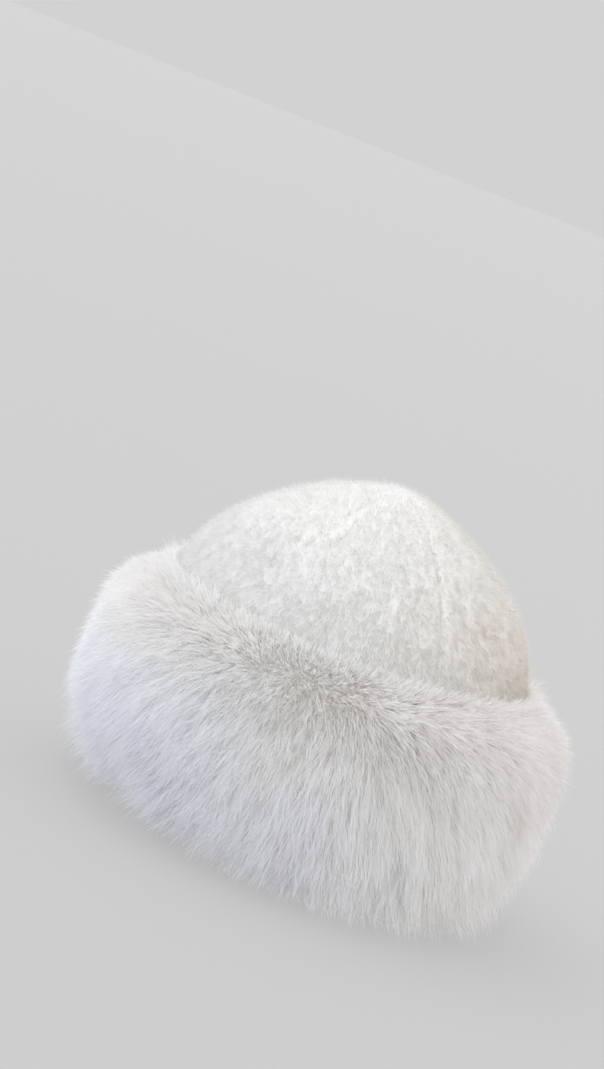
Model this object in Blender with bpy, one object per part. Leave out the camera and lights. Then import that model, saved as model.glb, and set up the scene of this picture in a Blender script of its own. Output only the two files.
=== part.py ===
"""Fur hat: a soft dome of six sewn gores in short plush fur, with a deep cuff of long fur round its
base. Metres, +Z up, front towards -Y, origin on the resting plane below the centre of the dome."""

import math

import bmesh
import bpy
from mathutils import Vector

MM = 0.001

# Driving sizes, in millimetres
OVAL = 1.04  # front-to-back size over side-to-side size, as a head has
GORE_COUNT = 6
GORE_SEAM_AT = 30.0  # degrees from straight ahead to the first seam, so that one gore faces front
SEAM_GAP = 0.3  # between neighbouring gores, and between a gore and the cuff
SEAM_DIP = 1.3  # how far the pile sinks where two gores are sewn together
SEAM_DIP_REACH = 9.0  # degrees from the seam over which it sinks
SEAM_DIP_RISE = 10.0  # height above the cuff over which the dip comes in
SEAM_DIP_TOP = 40.0  # radius inside which it fades towards the peak
PEAK_RADIUS = 1.4  # the gores end here, round the peak
GORE_STEPS = 6  # strips across a gore

RIM_Z = 12.0  # the dome's lower edge
RIM_RADIUS = 90.0  # inside the rim, side to side: with OVAL a head size of 57 to 58 cm
BAND_WALL = 3.0  # skin and lining where the cuff covers the dome
PILE_WALL = 8.0  # skin and plush above the cuff

CUFF_SIDES = 48
LOCKS_ROUND = 28  # locks in each row of the cuff's fur
LOCK_SIDES = 4
LOCK_THICK = 0.42  # a lock's thickness over its width
LOCK_SWAY = 2.2  # degrees a tip swings to one side, in turn
LOCK_SWAY_TURNS = (1.9, 2.3)  # radians of that turn from lock to lock, and from row to row
LOCK_REACH = 2.4  # by how much locks differ in length
LOCK_REACH_TURNS = (2.4, 1.7)
LOCK_AIM = 0.05  # the share of a lock looked ahead for its direction
LOCK_CLEAR = 0.6  # no lock's side comes lower than this
TIP_CLEAR = 2.2  # and no tip lower than this

# A lock's width along it, as shares: from its root to the last ring before the pointed tip
LOCK_STATIONS = ((0.0, 0.6), (0.35, 1.0), (0.7, 0.75))

# The dome's outside as (z, radius), side to side, from the photograph's outline; a smooth curve
# joins the rows
DOME = (
    (93.0, 93.0),
    (103.0, 95.6),
    (122.0, 92.0),
    (141.0, 83.2),
    (158.0, 67.6),
    (173.0, 46.8),
    (183.5, 25.5),
    (188.0, 11.5),
    (189.3, PEAK_RADIUS),
)
DOME_STEPS = 2  # rows of faces between two rows of the table

# The cuff's backing as (z, radius), turned round the dome: the skin of the long fur with its dense
# underfur
BACKING = (
    (0.0, 88.4),
    (0.0, 98.0),
    (9.0, 105.0),
    (24.0, 112.0),
    (42.0, 115.0),
    (60.0, 116.0),
    (78.0, 114.5),
    (91.0, 110.0),
    (101.0, 103.5),
    (105.5, 98.6),
)

# One row of locks each: where its locks leave the backing, where they bend, and where they end
LOCK_COLUMNS = ("root_radius", "root_z", "bend_radius", "bend_z", "tip_radius", "tip_z", "width")
LOCK_ROWS = (
    (99.5, 86.0, 104.0, 105.0, 107.5, 116.0, 23.0),
    (101.0, 82.0, 121.0, 108.0, 129.0, 84.0, 24.0),
    (103.0, 73.0, 125.0, 90.0, 130.5, 58.0, 26.0),
    (104.0, 59.0, 124.0, 68.0, 129.0, 36.0, 26.0),
    (103.0, 43.0, 121.0, 47.0, 121.5, 16.0, 25.0),
    (99.0, 28.0, 114.0, 25.0, 108.0, 2.2, 23.0),
)

PLUSH_WHITE = (0.80, 0.80, 0.77, 1.0)
FUR_WHITE = (0.74, 0.74, 0.76, 1.0)


def clear_scene():
    for thing in list(bpy.data.objects):
        bpy.data.objects.remove(thing)


def fur_material(name, colour, roughness):
    material = bpy.data.materials.new(name)
    material.use_nodes = True
    shader = material.node_tree.nodes["Principled BSDF"]
    shader.inputs["Base Color"].default_value = colour
    shader.inputs["Roughness"].default_value = roughness
    shader.inputs["Metallic"].default_value = 0.0
    return material


def on_oval(radius, angle, z):
    """The point at this radius, side to side, and this angle from straight ahead, in metres."""
    return Vector((radius * math.sin(angle), -radius * OVAL * math.cos(angle), z)) * MM


def solid_from(name, points, faces, material):
    """One named object from points and faces, with its faces pointing out."""
    mesh = bpy.data.meshes.new(name)
    form = bmesh.new()
    corners = [form.verts.new(point) for point in points]
    for face in faces:
        form.faces.new([corners[i] for i in face])
    bmesh.ops.recalc_face_normals(form, faces=form.faces)
    form.to_mesh(mesh)
    form.free()
    mesh.materials.append(material)
    thing = bpy.data.objects.new(name, mesh)
    bpy.context.scene.collection.objects.link(thing)
    return thing


def smooth(rows, steps):
    """The rows of a table with others between them, on one smooth curve through them all."""
    ends = [Vector(row) for row in (rows[0], *rows, rows[-1])]
    curve = []
    for before, here, following, after in zip(ends, ends[1:], ends[2:], ends[3:]):
        for step in range(steps):
            t = step / steps
            curve.append(
                here
                + (following - before) * (t / 2)
                + (2 * before - 5 * here + 4 * following - after) * (t * t / 2)
                + (3 * here - before - 3 * following + after) * (t**3 / 2)
            )
    return [*curve, ends[-1]]


def dome_walls():
    """(inside, outside) of the dome in section: points (radius, z) from the rim to the peak."""
    curve = smooth(DOME, DOME_STEPS)
    outside = [(RIM_RADIUS + BAND_WALL, RIM_Z), *[(radius, z) for z, radius in curve]]
    inside = [(RIM_RADIUS, RIM_Z), (RIM_RADIUS, DOME[0][0] - PILE_WALL)]
    for before, here, after in zip(curve, curve[1:-1], curve[2:]):
        rise = (after - before).normalized()
        inside.append((here.y - rise.x * PILE_WALL, here.x + rise.y * PILE_WALL))
    inside.append((PEAK_RADIUS, DOME[-1][0] - PILE_WALL))
    return inside, outside


def seam_dip(angle, half, radius, z):
    """How far the pile sinks at this angle from a gore's middle: none under the cuff or at the peak."""
    from_seam = math.degrees(half - abs(angle)) / SEAM_DIP_REACH
    above_cuff = max(0.0, z - DOME[0][0]) / SEAM_DIP_RISE
    shown = min(1.0, above_cuff, radius / SEAM_DIP_TOP)
    return SEAM_DIP * shown * max(0.0, 1.0 - from_seam) ** 2


def gore_angles(radius, half):
    """Angles across a gore at this radius, with half of the seam's gap left free at each side."""
    free = math.asin(min(1.0, SEAM_GAP / 2 / radius))
    reach = half - free
    return [reach * (2 * i / GORE_STEPS - 1) for i in range(GORE_STEPS + 1)]


def build_gore(number, material):
    """One gore of the dome: a curved wall, from the rim to the peak."""
    half = math.pi / GORE_COUNT
    middle = math.radians(GORE_SEAM_AT) - half + number * 2 * half
    inside, outside = dome_walls()
    points = []
    for wall, dips in ((inside, 0.0), (outside, 1.0)):
        for radius, z in wall:
            for angle in gore_angles(radius, half):
                sunk = dips * seam_dip(angle, half, radius, z)
                points.append(on_oval(radius - sunk, middle + angle, z))
    across = GORE_STEPS + 1
    rows = len(inside)
    shift = rows * across

    def corner(wall, row, step):
        return wall * shift + row * across + step

    faces = []
    for row in range(rows - 1):
        for step in range(GORE_STEPS):
            for wall in (0, 1):
                faces.append(
                    (
                        corner(wall, row, step),
                        corner(wall, row, step + 1),
                        corner(wall, row + 1, step + 1),
                        corner(wall, row + 1, step),
                    )
                )
        for step in (0, GORE_STEPS):
            faces.append(
                (
                    corner(0, row, step),
                    corner(1, row, step),
                    corner(1, row + 1, step),
                    corner(0, row + 1, step),
                )
            )
    for row in (0, rows - 1):
        for step in range(GORE_STEPS):
            faces.append(
                (
                    corner(0, row, step),
                    corner(0, row, step + 1),
                    corner(1, row, step + 1),
                    corner(1, row, step),
                )
            )
    return solid_from(f"crown_gore_{number + 1}", points, faces, material)


def clear_of(radius):
    """A radius whose flat sides, between their corners, stay the seam's gap outside this one."""
    return (radius + SEAM_GAP) / math.cos(math.pi / CUFF_SIDES)


def cuff_section():
    """The backing in section, (radius, z): its outside, then down the side that meets the dome."""
    outside = [(radius, z) for z, radius in BACKING]
    ledge = RIM_Z - SEAM_GAP
    beside_pile = [(clear_of(r), z) for z, r in smooth(DOME, DOME_STEPS) if z < BACKING[-1][0]]
    dome_side = clear_of(RIM_RADIUS + BAND_WALL)
    return [*outside, *reversed(beside_pile), (dome_side, ledge), (BACKING[0][1], ledge)]


def build_backing(material):
    """The cuff's backing: a closed ring turned from its section."""
    section = cuff_section()
    points = []
    for side in range(CUFF_SIDES):
        angle = 2 * math.pi * side / CUFF_SIDES
        points.extend(on_oval(radius, angle, z) for radius, z in section)
    count = len(section)
    faces = []
    for side in range(CUFF_SIDES):
        following = (side + 1) % CUFF_SIDES
        for i in range(count):
            j = (i + 1) % count
            faces.append(
                (side * count + i, side * count + j, following * count + j, following * count + i)
            )
    return solid_from("brim_fur", points, faces, material)


def lock_centre(row, share, angle, stretch, sway):
    """A point on a lock's middle line: share 0 is its root and 1 its tip."""
    root = Vector((row["root_radius"], row["root_z"]))
    bend = Vector((row["bend_radius"], row["bend_z"]))
    tip = Vector((row["tip_radius"], row["tip_z"]))
    tip += (tip - bend).normalized() * stretch
    tip.y = max(tip.y, TIP_CLEAR)
    place = root * (1 - share) ** 2 + bend * 2 * share * (1 - share) + tip * share**2
    return on_oval(place.x, angle + sway * share**2, place.y)


def lock_mesh(row, angle, stretch, sway, points, faces):
    """Adds one lock, widest a third of the way along and closed to a point at its tip."""
    first = len(points)
    for share, fullness in LOCK_STATIONS:
        centre = lock_centre(row, share, angle, stretch, sway)
        ahead = lock_centre(row, share + LOCK_AIM, angle, stretch, sway) - centre
        across = Vector((math.cos(angle), math.sin(angle), 0.0))
        out = across.cross(ahead).normalized()
        wide = row["width"] / 2 * MM * fullness
        for side in range(LOCK_SIDES):
            turn = 2 * math.pi * side / LOCK_SIDES + math.pi / 2
            offset = across * (wide * math.cos(turn)) - out * (wide * LOCK_THICK * math.sin(turn))
            point = centre + offset
            point.z = max(point.z, LOCK_CLEAR * MM)
            points.append(point)
    points.append(lock_centre(row, 1.0, angle, stretch, sway))
    tip = len(points) - 1
    for ring in range(len(LOCK_STATIONS) - 1):
        for side in range(LOCK_SIDES):
            low = first + ring * LOCK_SIDES
            high = low + LOCK_SIDES
            following = (side + 1) % LOCK_SIDES
            faces.append((low + side, low + following, high + following, high + side))
    last = first + (len(LOCK_STATIONS) - 1) * LOCK_SIDES
    for side in range(LOCK_SIDES):
        faces.append((last + side, last + (side + 1) % LOCK_SIDES, tip))
    faces.append(tuple(first + side for side in reversed(range(LOCK_SIDES))))


def build_locks(material):
    """All locks of the long fur in one object, to be fused to the backing."""
    points, faces = [], []
    pitch = 2 * math.pi / LOCKS_ROUND
    for number, numbers in enumerate(LOCK_ROWS):
        row = dict(zip(LOCK_COLUMNS, numbers))
        for place in range(LOCKS_ROUND):
            turn = place % (LOCKS_ROUND // 2)  # the two halves of the cuff match
            reach_turn = LOCK_REACH_TURNS[0] * turn + LOCK_REACH_TURNS[1] * number
            sway_turn = LOCK_SWAY_TURNS[0] * turn + LOCK_SWAY_TURNS[1] * number
            stretch = LOCK_REACH * math.sin(reach_turn)
            sway = math.radians(LOCK_SWAY) * math.sin(sway_turn)
            angle = pitch * (place + 0.5 * (number % 2))
            lock_mesh(row, angle, stretch, sway, points, faces)
    return solid_from("fur_locks", points, faces, material)


def fuse(thing, helper):
    """Joins the helper's shapes to the thing, and leaves the helper out of the object."""
    union = thing.modifiers.new("fuse_locks", "BOOLEAN")
    union.operation = "UNION"
    union.object = helper
    union.use_self = True
    helper.hide_render = True
    helper.display_type = "WIRE"


def main():
    clear_scene()
    plush = fur_material("white_plush_fur", PLUSH_WHITE, 0.9)
    long_fur = fur_material("white_long_fur", FUR_WHITE, 0.8)
    for number in range(GORE_COUNT):
        build_gore(number, plush)
    brim = build_backing(long_fur)
    fuse(brim, build_locks(long_fur))


main()
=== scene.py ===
import math

import bpy
import numpy as np
from mathutils import Matrix, Vector


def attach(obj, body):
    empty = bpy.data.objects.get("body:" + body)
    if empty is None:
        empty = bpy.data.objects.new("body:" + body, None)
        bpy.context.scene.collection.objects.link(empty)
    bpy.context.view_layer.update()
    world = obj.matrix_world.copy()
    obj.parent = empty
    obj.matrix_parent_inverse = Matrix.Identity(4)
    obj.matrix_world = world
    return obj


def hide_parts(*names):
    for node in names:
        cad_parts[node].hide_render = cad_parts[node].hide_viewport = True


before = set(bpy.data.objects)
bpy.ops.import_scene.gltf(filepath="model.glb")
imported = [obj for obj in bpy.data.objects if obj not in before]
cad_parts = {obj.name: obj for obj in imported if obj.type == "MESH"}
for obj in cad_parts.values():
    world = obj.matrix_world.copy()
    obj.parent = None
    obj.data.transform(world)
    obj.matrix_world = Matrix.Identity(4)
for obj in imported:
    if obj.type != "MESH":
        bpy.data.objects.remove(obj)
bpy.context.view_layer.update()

MM = 0.001

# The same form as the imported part, in millimetres: (z, radius) side to side, z upwards
OVAL = 1.04
DOME = (
    (93.0, 93.0),
    (103.0, 95.6),
    (122.0, 92.0),
    (141.0, 83.2),
    (158.0, 67.6),
    (173.0, 46.8),
    (183.5, 25.5),
    (188.0, 11.5),
    (189.3, 0.05),
)
RIM_Z = 12.0
RIM_RADIUS = 90.0
SKIN_INSIDE = 8.0  # from the tips of the plush to the skin's inner face

# The dome is sewn from six gores. Toward each seam its surface sinks, and the fur closes over it.
SEAM_AT = 30.0
SEAM_STEP = 60.0
SEAM_DIP = 1.8
SEAM_REACH = 6.0
SEAM_FADE = 25.0  # the radius below which the gores' points run together
SEAM_RIDGE = 2.0  # the seam allowance that stands up inside
SEAM_RIDGE_WIDTH = 2.4
STITCH_STEP = 4.5
STITCH_THICK = 0.9
STITCH_PEAK = 12.0  # the stitches end this far from the peak
SEAM_COLUMNS = (-30.0, -21.0, -13.0, -7.5, -4.0, -2.0, -1.0, 0.0, 1.0, 2.0, 4.0, 7.5, 13.0, 21.0)

# How the long fur lies, in section, as (radius, z) three times: where a hair leaves the skin, where it
# is drawn to and where it ends. The rows go from the dome over the cuff's shoulder, down its outside
# and under it.
LAY = (
    (93.8, 115.0, 94.4, 116.6, 94.9, 118.2),
    (94.8, 112.2, 96.3, 114.2, 98.1, 116.2),
    (95.8, 109.6, 98.5, 111.9, 101.7, 113.9),
    (97.4, 107.1, 101.8, 109.9, 106.3, 111.3),
    (100.8, 103.6, 106.6, 106.2, 112.6, 107.3),
    (104.6, 99.8, 111.6, 102.2, 118.2, 102.0),
    (107.8, 94.5, 115.5, 95.8, 122.6, 93.3),
    (110.0, 88.0, 118.0, 88.0, 124.6, 84.0),
    (111.2, 80.0, 119.2, 78.8, 125.4, 73.0),
    (112.0, 70.0, 119.8, 67.2, 125.6, 60.0),
    (112.3, 58.0, 119.8, 53.8, 125.0, 46.0),
    (111.3, 45.0, 118.6, 39.8, 123.0, 32.0),
    (108.0, 32.0, 115.3, 25.6, 119.4, 18.0),
    (103.5, 19.5, 110.0, 13.5, 113.8, 8.5),
    (98.0, 9.0, 102.5, 5.0, 106.0, 3.4),
    (91.5, 4.0, 95.0, 2.4, 98.5, 2.0),
)
LAY_LENGTH = 150.0  # along the rows' roots
CUFF_RADIUS = 112.0
LOCK_SIZE = (4.5, 6.5)  # round the cuff and down it
SKIN_INNER = ((89.0, 1.6), (90.0, 12.0), (92.0, 50.0), (92.5, 90.0), (92.8, 110.0))

# Seen from the front, the cuff's lower edge is drawn in and up at its left, and its fur is longer at
# its right
TUCK_IN = 17.0
TUCK_UP = 3.5
TUCK_AT = -55.0
TUCK_REACH = 85.0
TUCK_TOP = 57.0
RIGHT_LONGER = 0.12
SWEEP = 0.11  # the fur leans to the right at the cuff's top and to the left at its foot

# Real fur has far more hairs, each about a fifth as wide as these
LONG_HAIRS = 39000  # in each quarter of the cuff
PLUSH_HAIRS = 62000
LONG_STATIONS = (0.0, 0.35, 0.7, 1.0)
PLUSH_STATIONS = (0.0, 0.55, 1.0)

CAMERA_AWAY = 1.485
FLOOR_REACH = 40000.0


def make_camera():
    """A camera that sees the hat as the photograph does: from 10 degrees above, leaning to the right."""
    elevation = math.radians(10.0)
    lean = math.radians(22.0)
    middle = Vector((0.0, 0.0, 0.095))
    back = Vector((0.0, -math.cos(elevation), math.sin(elevation)))
    right = Vector((1.0, 0.0, 0.0))
    up = back.cross(right)
    image_right = right * math.cos(lean) + up * math.sin(lean)
    image_up = up * math.cos(lean) - right * math.sin(lean)
    place = middle + back * CAMERA_AWAY
    aim = middle - image_right * 0.01725 + image_up * 0.0651
    z_axis = (place - aim).normalized()
    x_axis = image_up.cross(z_axis).normalized()
    y_axis = z_axis.cross(x_axis)
    data = bpy.data.cameras.new("camera")
    data.lens = 100.0
    data.sensor_width = 36.0
    data.clip_start = 0.05
    data.clip_end = 100.0
    camera = bpy.data.objects.new("camera", data)
    turn = Matrix((x_axis, y_axis, z_axis)).transposed()
    camera.matrix_world = Matrix.Translation(place) @ turn.to_4x4()
    bpy.context.scene.collection.objects.link(camera)
    bpy.context.scene.camera = camera


def linear(code):
    """A colour written as sRGB hex, in the linear values that shaders take."""
    parts = [int(code[i : i + 2], 16) / 255 for i in (0, 2, 4)]
    return (*[c / 12.92 if c <= 0.04045 else ((c + 0.055) / 1.055) ** 2.4 for c in parts], 1.0)


def add_node(tree, kind, settings=None, **inputs):
    """Adds a shader node with its settings; an input is a value or another node's output socket."""
    node = tree.nodes.new(kind)
    for name, value in (settings or {}).items():
        setattr(node, name, value)
    for name, value in inputs.items():
        socket = node.inputs[int(name[1:]) if name[1:].isdigit() else name.replace("_", " ")]
        if isinstance(value, bpy.types.NodeSocket):
            tree.links.new(value, socket)
        else:
            socket.default_value = value
    return node


def colour_ramp(tree, value, stops):
    """The colour at value, 0 to 1, between stops of (place, sRGB hex)."""
    node = add_node(tree, "ShaderNodeValToRGB", i0=value)
    ramp = node.color_ramp
    for i, (place, code) in enumerate(stops):
        stop = ramp.elements[i] if i < 2 else ramp.elements.new(place)
        stop.position = place
        stop.color = linear(code)
    return node.outputs["Color"]


def multiplied(tree, first, second):
    settings = {"data_type": "RGBA", "blend_type": "MULTIPLY"}
    return add_node(tree, "ShaderNodeMix", settings, i0=1.0, i6=first, i7=second).outputs[2]


def new_material(name):
    material = bpy.data.materials.new(name)
    material.use_nodes = True
    material.node_tree.nodes.clear()
    return material, material.node_tree


def hair_material(name, along, tones_and_painted_light, roughness, through):
    """White hair: greyer at its root, a painted shade where it is shaded by its neighbours, and no two
    hairs of quite the same white; its tone also carries painted light and shade, set by where the hair
    grows. Light passes through a hair, so that it glows a little from behind."""
    material, tree = new_material(name)
    place = add_node(tree, "ShaderNodeUVMap", {"uv_map": "OFBake"})
    parts = add_node(tree, "ShaderNodeSeparateXYZ", i0=place.outputs["UV"])
    colour = multiplied(
        tree, colour_ramp(tree, parts.outputs["Y"], along), colour_ramp(tree, parts.outputs["X"], tones_and_painted_light)
    )
    shader = add_node(
        tree,
        "ShaderNodeBsdfPrincipled",
        Base_Color=colour,
        Roughness=roughness,
        IOR=1.55,
        Specular_IOR_Level=0.35,
    )
    glow = add_node(tree, "ShaderNodeBsdfTranslucent", Color=colour)
    mixed = add_node(
        tree, "ShaderNodeMixShader", i0=through, i1=shader.outputs["BSDF"], i2=glow.outputs["BSDF"]
    )
    add_node(tree, "ShaderNodeOutputMaterial", Surface=mixed.outputs["Shader"])
    return material


def surface_material(name, mottle, grain, sizes, height, roughness):
    """A matt surface with patches and a fine grain: sizes are the patch and the grain in millimetres,
    mottle and grain the colours they run between, and height the grain's relief in millimetres."""
    material, tree = new_material(name)
    place = add_node(tree, "ShaderNodeTexCoord").outputs["Object"]
    patches, grains = (
        add_node(
            tree,
            "ShaderNodeTexNoise",
            Vector=place,
            Scale=1.0 / (size * MM),
            Detail=3.0,
            Roughness=0.6,
        )
        for size in sizes
    )
    colour = multiplied(
        tree,
        colour_ramp(tree, patches.outputs[0], ((0.3, mottle[0]), (0.7, mottle[1]))),
        colour_ramp(tree, grains.outputs[0], ((0.3, grain[0]), (0.7, grain[1]))),
    )
    relief = add_node(
        tree, "ShaderNodeBump", Strength=1.0, Distance=height * MM, Height=grains.outputs[0]
    )
    shader = add_node(
        tree,
        "ShaderNodeBsdfPrincipled",
        Base_Color=colour,
        Roughness=roughness,
        IOR=1.5,
        Sheen_Weight=0.3,
        Normal=relief.outputs["Normal"],
    )
    add_node(tree, "ShaderNodeOutputMaterial", Surface=shader.outputs["BSDF"])
    return material


class Drift:
    """Smooth random values in space, between -1 and 1, the same on every run."""

    def __init__(self, seed, step):
        self.grid = np.random.default_rng(seed).uniform(-1.0, 1.0, (32, 32, 32))
        self.step = step

    def at(self, points):
        place = points / self.step
        cell = np.floor(place).astype(int)
        part = place - cell
        part = part * part * (3.0 - 2.0 * part)
        total = np.zeros(len(points))
        for corner in np.ndindex(2, 2, 2):
            share = np.prod(np.where(corner, part, 1.0 - part), axis=1)
            total += share * self.grid[tuple(((cell + corner) % 32).T)]
        return total


def curve_points(rows, steps):
    """Points on one smooth curve through a table's rows."""
    table = np.array([rows[0], *rows, rows[-1]], float)
    t = (np.arange(steps) / steps)[:, None]
    pieces = [
        b
        + (c - a) * t / 2
        + (2 * a - 5 * b + 4 * c - d) * t**2 / 2
        + (3 * b - a - 3 * c + d) * t**3 / 2
        for a, b, c, d in zip(table, table[1:], table[2:], table[3:])
    ]
    return np.vstack([*pieces, table[-1:]])


def on_oval(radius, angle, z):
    """Points in millimetres at this radius, side to side, and angle from straight ahead."""
    return np.stack([radius * np.sin(angle), -radius * OVAL * np.cos(angle), z], axis=-1)


def unit(vectors):
    return vectors / np.maximum(np.linalg.norm(vectors, axis=-1, keepdims=True), 1e-9)


def mesh_object(name, points, faces, materials, uv=None, kinds=None):
    """One object from points in millimetres and rows of corner numbers, all of one length."""
    mesh = bpy.data.meshes.new(name)
    corners = faces.shape[1]
    mesh.vertices.add(len(points))
    mesh.vertices.foreach_set("co", (points * MM).astype(np.float32).ravel())
    mesh.loops.add(faces.size)
    mesh.loops.foreach_set("vertex_index", faces.astype(np.int32).ravel())
    mesh.polygons.add(len(faces))
    mesh.polygons.foreach_set("loop_start", np.arange(0, faces.size, corners, dtype=np.int32))
    mesh.update(calc_edges=True)
    mesh.polygons.foreach_set("use_smooth", np.ones(len(faces), bool))
    for material in materials:
        mesh.materials.append(material)
    if kinds is not None:
        mesh.polygons.foreach_set("material_index", kinds.astype(np.int32))
    if uv is not None:
        layer = mesh.uv_layers.new(name="OFBake")
        layer.data.foreach_set("uv", uv[faces.ravel()].astype(np.float32).ravel())
    thing = bpy.data.objects.new(name, mesh)
    bpy.context.scene.collection.objects.link(thing)
    return thing


def hairs(name, material, drawn, width, out, tone_and_painted_light, rng, stations, twist):
    """Hairs as thin flat ribbons that end in a point, each turned about its length by up to twist.
    They are drawn by their roots, bends and tips."""
    root, bend, tip = drawn
    count = len(root)
    share = np.array(stations)[None, :, None]
    line = (
        root[:, None] * (1 - share) ** 2
        + bend[:, None] * 2 * share * (1 - share)
        + tip[:, None] * share**2
    )
    along = unit(np.gradient(line, axis=1))
    roll = rng.uniform(-twist, twist, count)[:, None, None]
    side = unit(np.cross(along, out[:, None]))
    across = side * np.cos(roll) + np.cross(side, along) * np.sin(roll)
    taper = np.interp(stations, (0.0, 0.3, 0.75, 1.0), (0.8, 1.0, 0.7, 0.0))
    edge = (across * (width[:, None] / 2 * taper)[:, :, None])[:, :-1]
    steps = len(stations) - 1
    edges = np.stack([line[:, :-1] - edge, line[:, :-1] + edge], axis=2)
    points = np.concatenate([edges.reshape(count, steps * 2, 3), line[:, -1:]], axis=1)
    each = steps * 2 + 1
    pattern = [(each - 3, each - 2, each - 1)]
    for i in range(0, each - 3, 2):
        pattern += [(i, i + 1, i + 3), (i, i + 3, i + 2)]
    faces = (np.arange(count)[:, None, None] * each + np.array(pattern)[None]).reshape(-1, 3)
    tone_and_painted_light = np.clip(tone_and_painted_light, 0.01, 0.98)[:, None]
    u = np.concatenate([tone_and_painted_light + np.tile([0.0, 0.01], steps), tone_and_painted_light + 0.005], axis=1)
    v = np.concatenate([np.repeat(stations[:-1], 2), [1.0]])[None].repeat(count, 0)
    uv = np.stack([u, v], axis=-1).reshape(-1, 2)
    return mesh_object(name, points.reshape(-1, 3), faces, [material], uv=uv)


def tucked(z, angle):
    """How far the cuff is drawn in and up at its lower left, as (radius, z), by its skin's z."""
    off = np.abs((np.degrees(angle) - TUCK_AT + 180.0) % 360.0 - 180.0)
    share = np.where(off < TUCK_REACH, (1.0 + np.cos(off / TUCK_REACH * math.pi)) / 2.0, 0.0)
    share = share * np.clip(1.0 - z / TUCK_TOP, 0.0, 1.0)
    return share[..., None] * np.array([-TUCK_IN, TUCK_UP])


def lay_at(place, angle):
    """Roots, bends and tips of the long fur as (radius, z), at places 0 to 1 down the section."""
    table = curve_points(LAY, 8)
    at = np.clip(place, 0, 1) * (len(table) - 1)
    rows = np.stack([np.interp(at, np.arange(len(table)), column) for column in table.T], axis=-1)
    return [rows[:, i : i + 2] + tucked(rows[:, 1], angle) for i in (0, 2, 4)]


def nearest_lock(across, down, size, seed):
    """Each hair's lock: the nearest of many scattered centres, one in each cell of a grid. Gives the
    centre and two random numbers that all the lock's hairs share."""
    rng = np.random.default_rng(seed)
    grid = (256, 64)
    shift = rng.uniform(0.1, 0.9, (*grid, 2))
    traits = rng.uniform(-1.0, 1.0, (*grid, 2))
    at = np.stack([across, down], axis=1) / size
    nearest = np.full(len(at), np.inf)
    centre = np.zeros_like(at)
    shared = np.zeros_like(at)
    for step in np.ndindex(3, 3):
        cell = np.floor(at).astype(int) + step - np.array([1, 1])
        key = tuple((cell % grid).T)
        there = cell + shift[key]
        apart = np.linalg.norm(there - at, axis=1)
        better = apart < nearest
        nearest[better] = apart[better]
        centre[better] = there[better]
        shared[better] = traits[key][better]
    return centre * size, shared


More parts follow.
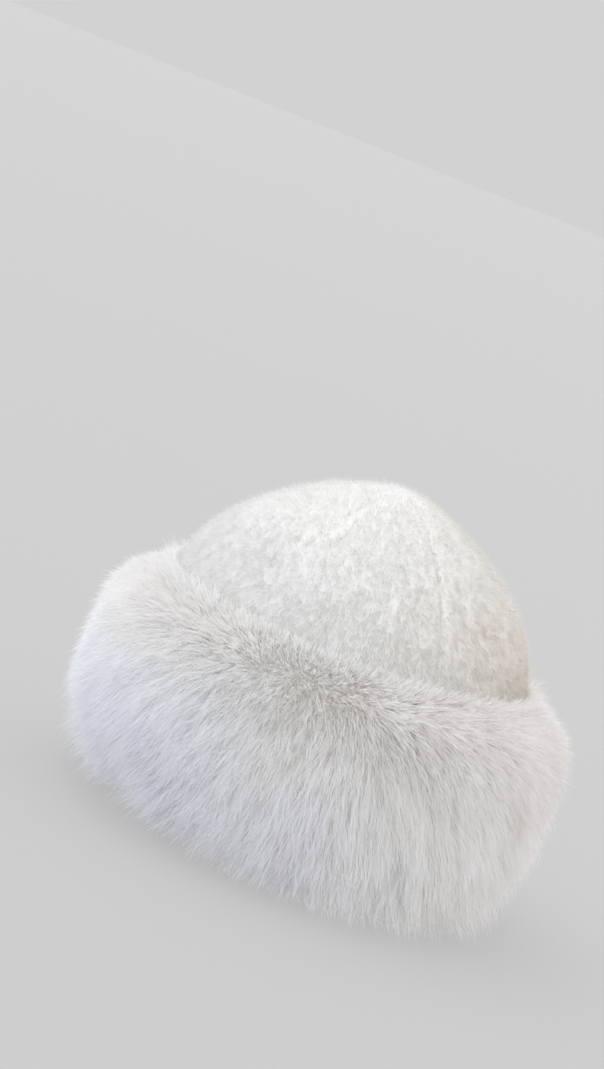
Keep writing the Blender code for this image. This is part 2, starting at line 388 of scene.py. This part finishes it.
def long_fur(material):
    """The cuff's long fur, in quarters: front, right, back and left."""
    sway = Drift(11, 26.0)
    ruffle = Drift(12, 9.0)
    reach = Drift(13, 14.0)
    tint = Drift(14, 17.0)
    up = np.array([0.0, 0.0, 1.0])
    for quarter, side in enumerate(("front", "right", "back", "left")):
        rng = np.random.default_rng(100 + quarter)
        count = LONG_HAIRS
        angle = math.radians(90.0 * quarter) + rng.uniform(-math.pi / 4, math.pi / 4, count)
        place = rng.uniform(0.0, 1.0, count)
        root, bend, tip = lay_at(place, angle)
        centre, shared = nearest_lock(angle * CUFF_RADIUS, place * LAY_LENGTH, LOCK_SIZE, 21)
        lock_angle = centre[:, 0] / CUFF_RADIUS
        lock_tip = lay_at(centre[:, 1] / LAY_LENGTH, lock_angle)[2]
        root_at, bend_at, tip_at = (on_oval(at[:, 0], angle, at[:, 1]) for at in (root, bend, tip))
        lock_at = on_oval(lock_tip[:, 0], lock_angle, lock_tip[:, 1])
        loose = np.interp(place, (0.0, 0.35, 0.7), (0.6, 0.9, 1.5))
        pull = (0.16 + 0.16 * shared[:, 0] + rng.normal(0, 0.08, count)) * loose
        tip_at += (lock_at - tip_at) * pull[:, None]
        around = unit(np.stack([np.cos(angle), np.sin(angle) / OVAL, np.zeros(count)], axis=-1))
        drift = 0.15 * sway.at(root_at) + 0.12 * ruffle.at(root_at)
        drift += 0.09 * shared[:, 1] + rng.normal(0, 0.14, count)
        sweep = SWEEP * (root[:, 1] - 60.0) / 50.0
        rise = 0.10 * sway.at(root_at + 300.0) + 0.10 * ruffle.at(root_at + 300.0)
        rise += 0.07 * shared[:, 0] + rng.normal(0, 0.12, count)
        drift, rise = drift * loose + sweep, rise * loose
        length = 1.0 + RIGHT_LONGER * np.sin(angle) + 0.15 * reach.at(root_at)
        length += rng.normal(0, 0.12, count)
        length *= np.where(place < 0.14, rng.uniform(0.7, 1.3, count), 1.0)
        wisp = (place < 0.11) & (rng.random(count) < 0.22)
        length *= np.where(wisp, rng.uniform(1.3, 2.1, count), 1.0)
        foot = np.interp(place, (0.70, 0.92), (0.0, 1.0))
        guard = rng.random(count) < 0.10 + 0.10 * foot
        length = length * np.where(guard, 1.18 + 0.25 * foot, 1.0 - 0.3 * foot)
        span = np.linalg.norm(tip_at - root_at, axis=1)
        tip_at = root_at + (tip_at - root_at) * length[:, None]
        tip_at += around * (drift * span)[:, None] + up * (rise * span)[:, None]
        bend_at = root_at + (bend_at - root_at) * length[:, None]
        bend_at += around * (drift * span * 0.4)[:, None]
        for points in (bend_at, tip_at):
            points[:, 2] = np.maximum(points[:, 2], 0.35 + rng.uniform(0, 0.8, count))
        out = unit(on_oval(np.ones(count), angle, (root[:, 1] - 55.0) / 90.0))
        width = np.where(guard, 0.24, 0.30) * rng.uniform(0.8, 1.2, count)
        width = width * np.interp(place, (0.0, 0.3), (0.7, 1.0))
        # Painted light and shade in each hair's tone: cooler low down and toward the left, a painted
        # cool shade, and warmer toward the right, a painted warm light;
        # a warm grey painted shade over the shoulder at the left and down the right, and a patch of it
        # at the front
        tone_and_painted_light = 0.62 + 0.14 * np.sin(angle) - np.interp(place, (0.3, 0.75), (0.0, 0.22))
        # Painted grey shade over the top of the cuff at its left
        painted_top_left_shade = np.exp(-(((place - 0.25) / 0.3) ** 2))
        tone_and_painted_light += 0.35 * painted_top_left_shade * np.clip(-1.3 * np.sin(angle), 0.0, 1.0)
        # Painted warm grey shade down the cuff's right side
        tone_and_painted_light += 0.36 * np.clip(place / 0.3, 0.0, 1.0) * np.clip(np.sin(angle) - 0.35, 0.0, 1.0)
        # A patch of painted shade at the front, below the dome
        painted_front_shade = np.exp(-(((place - 0.44) / 0.17) ** 2))
        tone_and_painted_light += 0.24 * painted_front_shade * np.exp(-(((angle - 0.12) / 0.35) ** 2))
        tone_and_painted_light += 0.13 * tint.at(root_at) + rng.uniform(-0.22, 0.22, count)
        name = f"cuff_long_fur_{side}"
        drawn = (root_at, bend_at, tip_at)
        piece = hairs(name, material, drawn, width, out, tone_and_painted_light, rng, LONG_STATIONS, math.pi / 2)
        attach(piece, "root")
        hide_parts("brim_fur")


def seam_offset(angle, radius):
    """How far round the dome the nearest seam lies, in millimetres, below zero to its left."""
    off = (np.degrees(angle) - SEAM_AT + SEAM_STEP / 2) % SEAM_STEP - SEAM_STEP / 2
    return np.radians(off) * radius


def seam_dip(angle, radius, z):
    """How far the dome's surface sinks toward its seams, in millimetres."""
    near = np.clip(1.0 - np.abs(seam_offset(angle, radius)) / SEAM_REACH, 0.0, 1.0)
    fade = np.clip(radius / SEAM_FADE, 0.0, 1.0) * np.clip((z - 108.0) / 18.0, 0.0, 1.0)
    return SEAM_DIP * near**2 * fade


def turned(section, angle):
    """Faces of a closed surface over a grid of points: angles round the hat, then a section's rows."""
    rows = section.shape[1]
    i = np.arange(rows)
    j = (i + 1) % rows
    side = np.arange(len(angle))[:, None] * rows
    following = np.roll(np.arange(len(angle)), -1)[:, None] * rows
    return np.stack([side + i, following + i, following + j, side + j], axis=-1).reshape(-1, 4)


def dome_section(steps):
    """The dome's outside as (radius, z) with its normals, rim to peak."""
    curve = curve_points(DOME, steps)[:, ::-1]
    slope = unit(np.gradient(curve, axis=0))
    return curve, np.stack([slope[:, 1], -slope[:, 0]], axis=-1)


def crown_shell(underfur, skin):
    """The dome below its plush: the underfur outside, the bare skin with its seams inside."""
    curve, facing = dome_section(3)
    angle = np.radians([SEAM_AT + SEAM_STEP * gore + off for gore in range(6) for off in SEAM_COLUMNS])
    radius = np.repeat(curve[None, :, 0], len(angle), axis=0)
    dip = seam_dip(angle[:, None], radius, curve[:, 1])[..., None]
    outside = curve - facing * (1.2 + dip)
    off = seam_offset(angle[:, None], radius)
    ridge = SEAM_RIDGE * np.clip(1.0 - np.abs(off) / SEAM_RIDGE_WIDTH, 0.0, 1.0)
    ridge = (ridge * np.clip(radius / SEAM_FADE, 0.0, 1.0))[..., None]
    inside = (curve - facing * (SKIN_INSIDE + ridge))[:, ::-1]
    rim = np.full((len(angle), 1, 2), (RIM_RADIUS + 2.7, RIM_Z))
    section = np.concatenate([rim, outside, inside, rim - [2.7, 0.0]], axis=1)
    faces = turned(section, angle)
    kinds = np.tile(np.arange(section.shape[1]) > len(curve), len(angle))
    points = on_oval(section[..., 0], angle[:, None], section[..., 1]).reshape(-1, 3)
    shell = mesh_object("crown_shell", points, faces, [underfur, skin], kinds=kinds)
    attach(shell, "root")
    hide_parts(*[f"crown_gore_{n}" for n in range(1, 7)])


def seam_stitches(thread):
    """Whip stitches over the seam allowances inside the dome, one every few millimetres."""
    curve, facing = dome_section(12)
    run = np.concatenate([[0], np.cumsum(np.linalg.norm(np.diff(curve, axis=0), axis=1))])
    at = np.arange(4.0, run[-1] - STITCH_PEAK, STITCH_STEP)
    radius, z, out_r, out_z = (np.interp(at, run, column) for column in (*curve.T, *facing.T))
    points, faces = [], []
    ring = np.arange(6)
    for gore in range(6):
        angle = math.radians(SEAM_AT + SEAM_STEP * gore)
        out = unit(on_oval(out_r, angle, out_z))
        top = on_oval(radius, angle, z) - out * (SKIN_INSIDE + SEAM_RIDGE * 0.9)
        down = unit(on_oval(out_z, angle, -out_r))
        around = unit(np.cross(out, down))
        for place, o, d, a in zip(top, out, down, around):
            reach = a * 2.4 + d * 0.9
            ends = (place + o * 1.3 - reach, place - o * 0.8, place + o * 1.3 + reach)
            first = len(points) * 6
            for end in ends:
                rim = [d * math.cos(t) + o * math.sin(t) for t in ring * math.pi / 3]
                points.append([end + way * STITCH_THICK / 2 for way in rim])
            for base in (first, first + 6):
                for i in ring:
                    j = (i + 1) % 6
                    faces.append((base + i, base + j, base + 6 + j, base + 6 + i))
    stitches = mesh_object("seam_stitches", np.array(points).reshape(-1, 3), np.array(faces), [thread])
    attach(stitches, "root")


def cuff_skin(underfur, skin):
    """The cuff below its long fur, with the bare skin on its inner side."""
    angle = np.radians(np.arange(96) * 3.75)
    lay = curve_points(LAY, 2)[:, 0:2]
    section = np.repeat(np.concatenate([lay, np.array(SKIN_INNER)])[None], len(angle), axis=0)
    section = section + tucked(section[..., 1], angle[:, None])
    kinds = np.tile(np.arange(section.shape[1]) >= len(lay), len(angle))
    points = on_oval(section[..., 0], angle[:, None], section[..., 1]).reshape(-1, 3)
    cuff = mesh_object("cuff_skin", points, turned(section, angle), [underfur, skin], kinds=kinds)
    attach(cuff, "root")
    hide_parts("brim_fur")


def plush(material):
    """The dome's short fur, combed down from the peak and closing over the seams."""
    curve, facing = dome_section(8)
    run = np.concatenate([[0], np.cumsum(np.linalg.norm(np.diff(curve, axis=0), axis=1))])
    rng = np.random.default_rng(7)
    fine = np.linspace(0, run[-1], 400)
    share = np.cumsum(np.interp(fine, run, curve[:, 0]))
    at = np.interp(rng.random(PLUSH_HAIRS) * share[-1], share, fine)
    angle = rng.uniform(-math.pi, math.pi, PLUSH_HAIRS)
    radius, z, out_r, out_z = (np.interp(at, run, column) for column in (*curve.T, *facing.T))
    out = unit(on_oval(out_r, angle, out_z))
    down = unit(on_oval(out_z, angle, -out_r))
    around = unit(np.cross(out, down))
    surface = on_oval(radius, angle, z) - out * seam_dip(angle, radius, z)[:, None]
    root = surface - out * 1.6
    nap = Drift(31, 18.0)
    tuft = Drift(32, 4.0)
    off = seam_offset(angle, radius)
    closing = np.clip(1.0 - np.abs(off) / 5.0, 0.0, 1.0) * np.clip(radius / SEAM_FADE, 0.0, 1.0)
    low = np.clip((128.0 - z) / 22.0, 0.0, 1.0)
    lean = 1.6 - 0.6 * low + 0.08 * nap.at(surface) + rng.normal(0, 0.04, PLUSH_HAIRS)
    sway = 0.2 * nap.at(surface + 200.0) + 0.03 * tuft.at(surface) + rng.normal(0, 0.07, PLUSH_HAIRS)
    sway -= 0.3 * np.sign(off) * closing
    height = 2.5 + 2.2 * low - 0.7 * closing + rng.normal(0, 0.09, PLUSH_HAIRS)
    fuzz = rng.random(PLUSH_HAIRS) < 0.34 + 0.15 * low
    height = np.where(fuzz, height + rng.uniform(0.8, 2.8, PLUSH_HAIRS), height)
    lean = np.where(fuzz, lean * 0.2, lean)
    whorl = np.clip(1.0 - radius / 14.0, 0.0, 1.0)
    lean = lean * (1.0 - whorl) + whorl * rng.normal(0, 0.6, PLUSH_HAIRS)
    sway = sway + whorl * rng.normal(0, 0.6, PLUSH_HAIRS)
    bend = root + out * (height * 0.6)[:, None]
    tip = root + out * height[:, None] + down * (lean * height)[:, None]
    tip += around * (sway * height)[:, None]
    width = np.where(fuzz, 0.20, rng.uniform(0.38, 0.52, PLUSH_HAIRS))
    # Painted light and shade in each hair's tone: warmer and darker toward the right, a painted warm
    # shade; whiter toward the peak, a painted top light; whiter low down at the front and left, painted
    # light over the shade where the dome meets the cuff
    tone_and_painted_light = 0.5 + 0.3 * np.sin(angle) - 0.4 * np.clip((z - 145.0) / 35.0, 0.0, 1.0)
    tone_and_painted_light -= 0.35 * low * np.clip(1.0 - np.sin(angle), 0.0, 1.0)
    tone_and_painted_light += 0.1 * nap.at(surface + 400.0) + rng.uniform(-0.08, 0.08, PLUSH_HAIRS)
    drawn = (root, bend, tip)
    piece = hairs("crown_plush", material, drawn, width, out, tone_and_painted_light, rng, PLUSH_STATIONS, 0.1)
    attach(piece, "root")


def make_sun(name, azimuth, elevation, strength, code, spread):
    """A soft studio light from far away: azimuth 0 is from the front, 90 from the right."""
    data = bpy.data.lights.new(name, "SUN")
    data.energy = strength
    data.color = linear(code)[:3]
    data.angle = math.radians(spread)
    light = bpy.data.objects.new(name, data)
    a, e = math.radians(azimuth), math.radians(elevation)
    toward = Vector((math.sin(a) * math.cos(e), -math.cos(a) * math.cos(e), math.sin(e)))
    light.rotation_euler = toward.to_track_quat("Z", "Y").to_euler()
    bpy.context.scene.collection.objects.link(light)


def make_studio():
    """A plain pale floor without a visible end, and soft light from all round. The floor is matt and
    glows a little, which keeps the shadow on it light."""
    points = np.array([[-1, -1, 0], [1, -1, 0], [1, 1, 0], [-1, 1, 0]], float) * FLOOR_REACH
    material, tree = new_material("studio_floor")
    shader = add_node(
        tree,
        "ShaderNodeBsdfPrincipled",
        Base_Color=linear("6c6c6c"),
        Roughness=0.9,
        Emission_Color=linear("ffffff"),
        Emission_Strength=0.38,
    )
    add_node(tree, "ShaderNodeOutputMaterial", Surface=shader.outputs["BSDF"])
    mesh_object("floor", points, np.array([[0, 1, 2, 3]]), [material])
    world = bpy.data.worlds.new("studio")
    bpy.context.scene.world = world
    world.use_nodes = True
    tree = world.node_tree
    tree.nodes.clear()
    seen = add_node(tree, "ShaderNodeBackground", Color=linear("d2d2d2"), Strength=1.0)
    way = add_node(tree, "ShaderNodeTexCoord").outputs["Generated"]
    height = add_node(tree, "ShaderNodeSeparateXYZ", i0=way)
    sky = colour_ramp(tree, height.outputs["Z"], ((0.0, "ffffff"), (0.3, "dfe0e3"), (1.0, "cecfd3")))
    lit = add_node(tree, "ShaderNodeBackground", Color=sky, Strength=1.4)
    path = add_node(tree, "ShaderNodeLightPath")
    mixed = add_node(
        tree,
        "ShaderNodeMixShader",
        i0=path.outputs["Is Camera Ray"],
        i1=lit.outputs["Background"],
        i2=seen.outputs["Background"],
    )
    add_node(tree, "ShaderNodeOutputWorld", Surface=mixed.outputs["Shader"])
    make_sun("key", -115.0, 68.0, 1.0, "fffdf7", 60.0)
    make_sun("cool_side", -60.0, 8.0, 0.40, "b0c4ff", 60.0)
    make_sun("warm_side", 92.0, 48.0, 0.22, "ffb89a", 60.0)
    make_sun("low_front", -15.0, 4.0, 0.41, "f8faff", 50.0)
    bpy.context.scene.view_settings.view_transform = "Standard"
    # White hair scatters light many times before it loses it
    cycles = bpy.context.scene.cycles
    cycles.max_bounces = 20
    cycles.diffuse_bounces = 16
    cycles.transmission_bounces = 20


def main():
    make_camera()
    # A long silky fur such as fox, combed: bright strands whose tips let light through; greyer toward
    # the root in painted shade, and its tones run from a painted cool shade to a painted warm grey shade
    long_hair = hair_material(
        "long_white_hair",
        ((0.0, "f6f4f1"), (0.4, "fbfbfa"), (1.0, "fefefe")),
        ((0.0, "f5f4fc"), (0.25, "fafaff"), (0.5, "feffff"), (0.75, "fffefe"), (1.0, "f2f1f0")),
        0.45,
        0.5,
    )
    # Shorn plush: matt, soft and even, without a gloss of its own; greyer toward the root in painted
    # shade, and its tones run from white painted light to a painted warm peach shade
    short_hair = hair_material(
        "short_white_hair",
        ((0.0, "f3f3f1"), (0.5, "f6f6f4"), (1.0, "f9f9f8")),
        ((0.0, "f9f9f9"), (0.5, "f1f1f0"), (1.0, "efe8e0")),
        0.7,
        0.62,
    )
    # Felted down below the hairs: a white, woolly ground without a gloss, where they part
    underfur = surface_material(
        "dense_underfur", ("f0f0ee", "f8f8f6"), ("f4f4f2", "ffffff"), (3.0, 0.4), 0.3, 0.95
    )
    # Tanned and brushed skin side: warm off-white suede with faint clouds and a fine nap
    skin = surface_material(
        "suede_skin", ("e8e0d2", "f2ece2"), ("efece6", "ffffff"), (14.0, 0.6), 0.15, 0.9
    )
    # Twisted cotton thread: unbleached, a little rough
    thread = surface_material(
        "cotton_thread", ("efebe2", "f6f3ec"), ("e4e0d8", "ffffff"), (2.0, 0.15), 0.05, 0.7
    )
    long_fur(long_hair)
    plush(short_hair)
    cuff_skin(underfur, skin)
    crown_shell(underfur, skin)
    seam_stitches(thread)
    make_studio()


main()
